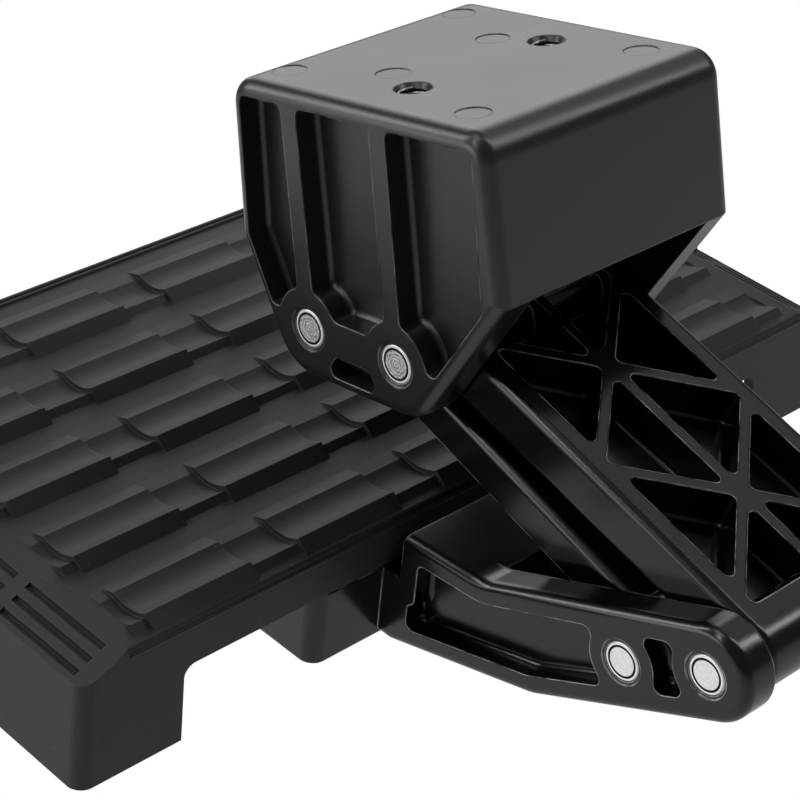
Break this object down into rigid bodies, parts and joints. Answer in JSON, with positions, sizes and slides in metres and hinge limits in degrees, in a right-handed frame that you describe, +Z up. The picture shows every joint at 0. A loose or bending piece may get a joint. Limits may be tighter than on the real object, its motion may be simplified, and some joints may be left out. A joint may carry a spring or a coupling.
{
  "type": "folding bumper step",
  "caption": "Folding bumper step: pocketed mount block, ribbed swing arm and idler link carry a bracket with a shingled tread pad that swings down and out, then tucks under the bumper.",
  "frame": {"origin": "middle of the two mounting holes, on the flat top of the mount block", "axes": "+Z up out of the mounting face, X along the pivot pins, +Y the side the step swings out to; rest is the stowed pose"},
  "size_m": [0.32, 0.3006, 0.1673],
  "materials": {
    "block_black": "satin black coat on a die-cast aluminium block",
    "arm_black": "semi-gloss black coat on die-cast aluminium",
    "pad_plastic": "moulded black plastic with a fine grain",
    "zinc_steel": "bright zinc-plated steel, turned ends",
    "bush_plastic": "dark bearing plastic",
    "insert_brass": "plain brass"
  },
  "bodies": {
    "block": {"mount_block": "block_black", "pin_upper_main": "zinc_steel", "pin_upper_idler": "zinc_steel"},
    "main_arm": {"main_arm": "arm_black", "bush_main_upper_left": "bush_plastic", "bush_main_upper_right": "bush_plastic", "bush_main_lower_left": "bush_plastic", "bush_main_lower_right": "bush_plastic"},
    "idler_arm": {"idler_arm": "arm_black", "bush_idler_upper_left": "bush_plastic", "bush_idler_upper_right": "bush_plastic"},
    "step": {"step_bracket": "arm_black", "step_pad": "pad_plastic", "pin_lower_main": "zinc_steel", "pin_lower_idler": "zinc_steel", "washer_idler_lower_left": "bush_plastic", "washer_idler_lower_right": "bush_plastic", "pad_screws": "zinc_steel", "pad_washers": "zinc_steel", "pad_inserts": "insert_brass"}
  },
  "joints": [
    {"name": "arm_swing", "type": "hinge", "parent": "block", "child": "main_arm", "pos_m": [0, -0.0064, -0.0739], "axis": [1, 0, 0], "range_deg": [0, 90]},
    {"name": "idler_swing", "type": "hinge", "parent": "block", "child": "idler_arm", "pos_m": [0, 0.0297, -0.0719], "axis": [1, 0, 0], "range_deg": [0, 81.54]},
    {"name": "step_level", "type": "hinge", "parent": "main_arm", "child": "step", "pos_m": [0, -0.11627, -0.13331], "axis": [1, 0, 0], "range_deg": [-103.4, 0]}
  ],
  "couplings": [
    {"joint": "idler_swing", "follows": "arm_swing", "ratio": 0.906},
    {"joint": "step_level", "follows": "arm_swing", "ratio": -1.1489}
  ]
}
